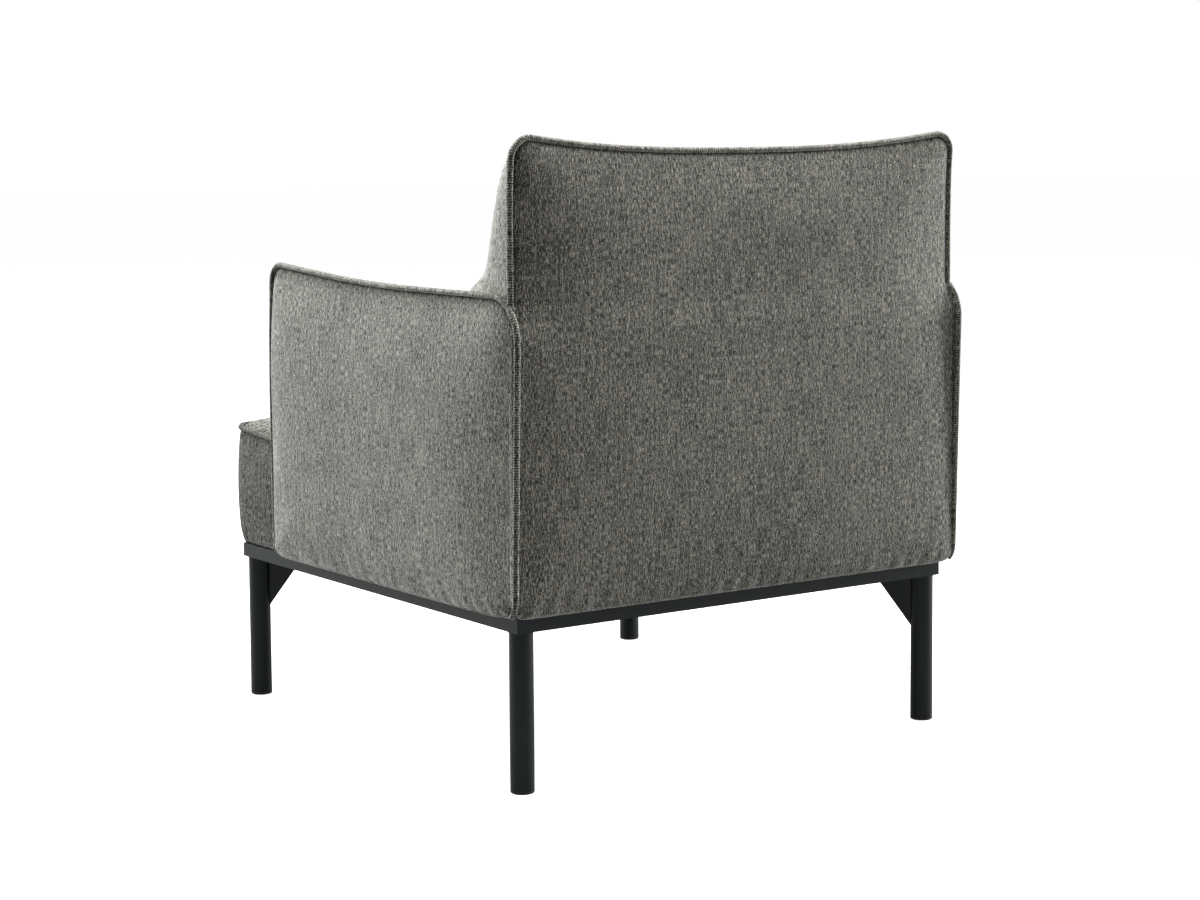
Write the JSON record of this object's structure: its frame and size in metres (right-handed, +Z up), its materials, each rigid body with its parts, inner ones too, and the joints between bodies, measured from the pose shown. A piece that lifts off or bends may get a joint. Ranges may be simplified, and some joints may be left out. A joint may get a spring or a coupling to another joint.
{
  "type": "upholstered armchair",
  "caption": "Low upholstered lounge armchair with padded arms and back in heathered fabric, T-shaped tight seat and welt piping, on a welded dark steel base with round tube legs.",
  "frame": {"origin": "on the floor, under the middle of the whole chair", "axes": "+Z up, the sitter faces -Y, the left hand of the sitter is +X"},
  "size_m": [0.78, 0.8239, 0.8523],
  "materials": {
    "powder_coated_steel": "satin powder coat, dark blue-grey",
    "glide_plastic": "moulded matt",
    "zinc_steel": "zinc plated",
    "dust_cloth": "black non-woven cloth",
    "webbing": "woven elastic",
    "heather_fabric": "heathered warm grey velvet-pile weave",
    "foam": "open-cell polyurethane foam",
    "timber": "sawn hardwood"
  },
  "bodies": {
    "root": {"arm_cover_left": "heather_fabric", "arm_cover_right": "heather_fabric", "arm_front_post_left": "timber", "arm_front_post_right": "timber", "arm_inner_pad_left": "foam", "arm_inner_pad_right": "foam", "arm_outer_pad_left": "foam", "arm_outer_pad_right": "foam", "arm_rear_post_left": "timber", "arm_rear_post_right": "timber", "arm_top_rail_left": "timber", "arm_top_rail_right": "timber", "back_foam": "foam", "back_inner_cover": "heather_fabric", "back_outer_cover": "heather_fabric", "back_outer_pad": "foam", "back_rail_bottom": "timber", "back_rail_middle": "timber", "back_rail_top": "timber", "back_stile_left": "timber", "back_stile_right": "timber", "back_webbing": "webbing", "base_bolts": "zinc_steel", "base_tee_nuts": "zinc_steel", "corner_plate_front_left": "powder_coated_steel", "corner_plate_front_right": "powder_coated_steel", "corner_plate_rear_left": "powder_coated_steel", "corner_plate_rear_right": "powder_coated_steel", "dust_cover": "dust_cloth", "glide_front_left": "glide_plastic", "glide_front_right": "glide_plastic", "glide_rear_left": "glide_plastic", "glide_rear_right": "glide_plastic", "gusset_front_left": "powder_coated_steel", "gusset_front_right": "powder_coated_steel", "gusset_rear_left": "powder_coated_steel", "gusset_rear_right": "powder_coated_steel", "leg_front_left": "powder_coated_steel", "leg_front_right": "powder_coated_steel", "leg_rear_left": "powder_coated_steel", "leg_rear_right": "powder_coated_steel", "rail_front": "powder_coated_steel", "rail_left": "powder_coated_steel", "rail_rear": "powder_coated_steel", "rail_right": "powder_coated_steel", "seat_corner_blocks": "timber", "seat_cover": "heather_fabric", "seat_edge_pad": "foam", "seat_foam": "foam", "seat_rail_front": "timber", "seat_rail_left": "timber", "seat_rail_rear": "timber", "seat_rail_right": "timber", "seat_springs": "zinc_steel", "spring_clips": "zinc_steel", "welt_arm_left": "heather_fabric", "welt_arm_right": "heather_fabric", "welt_back": "heather_fabric", "welt_seat": "heather_fabric"}
  },
  "joints": []
}
